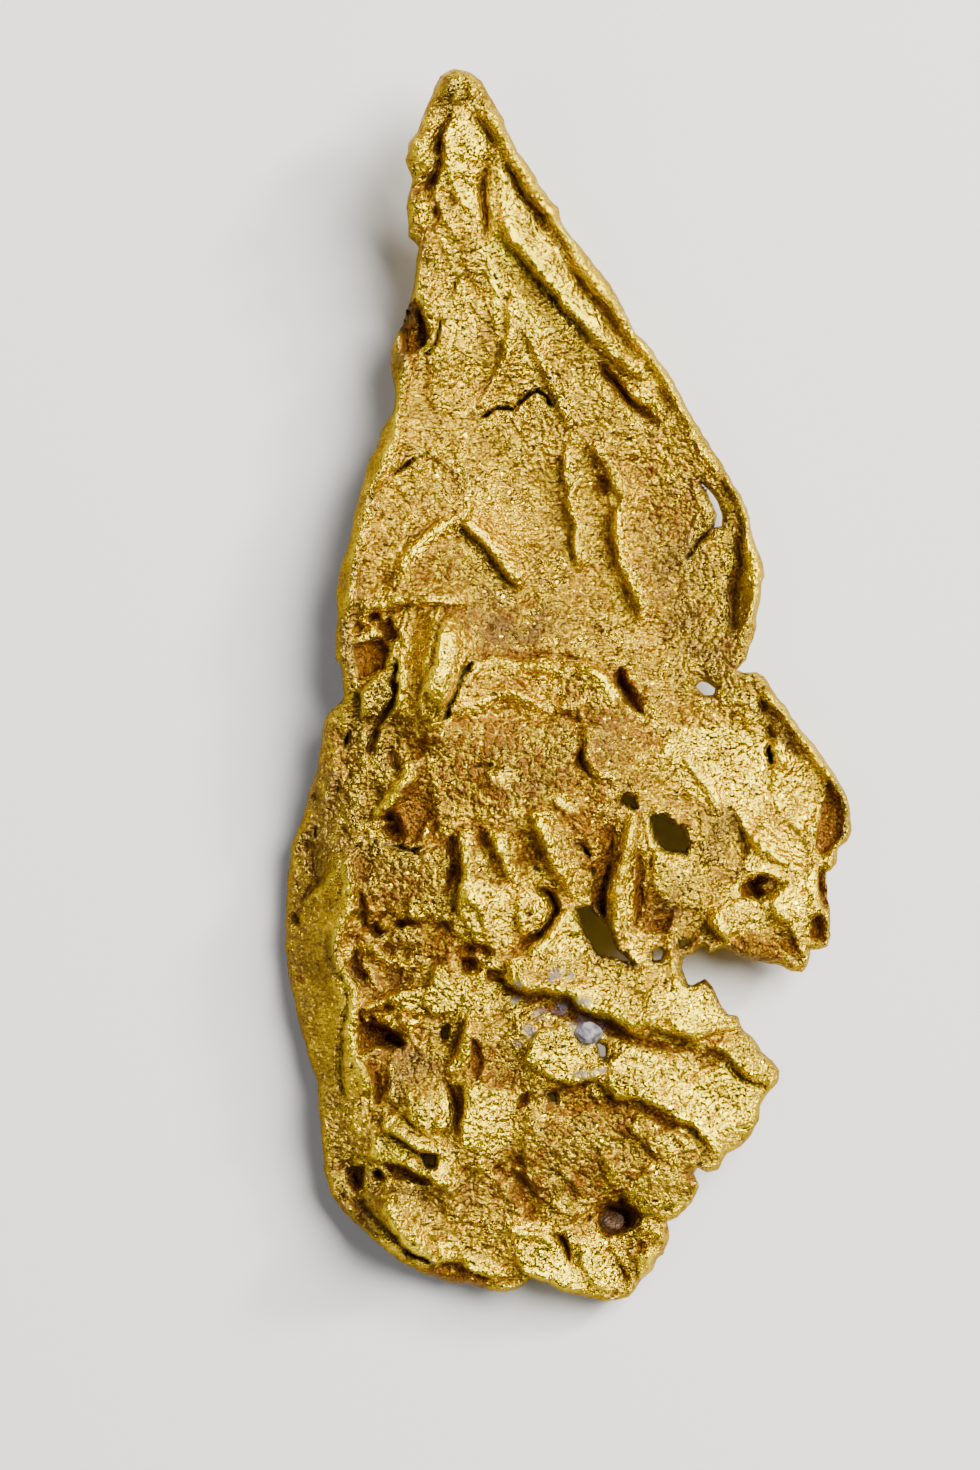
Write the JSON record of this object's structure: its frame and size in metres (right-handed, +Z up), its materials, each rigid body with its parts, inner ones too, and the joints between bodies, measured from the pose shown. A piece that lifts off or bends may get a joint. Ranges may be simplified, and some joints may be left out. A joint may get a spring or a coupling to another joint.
{
  "type": "leaf gold crystal specimen",
  "caption": "Natural leaf of crystalline gold lying on its back: a rimmed spear-shaped blade over a crumpled, torn foot with a dished side wing.",
  "frame": {"origin": "on the ground under the middle of the leaf's box, as it lies on its back", "axes": "+X to the right across the leaf's face, +Y along the leaf towards its tip, +Z up out of its face"},
  "size_m": [0.0228, 0.0493, 0.0059],
  "materials": {
    "gold": "natural crystalline gold, matt and hatched, stained with iron oxide",
    "iron_stained_grain": "dull brown iron-stained mineral",
    "grey_mineral": "dull grey crystalline crust"
  },
  "bodies": {
    "root": {"gold_leaf": "gold", "brown_grain": "iron_stained_grain", "grey_crust": "grey_mineral"}
  },
  "joints": []
}
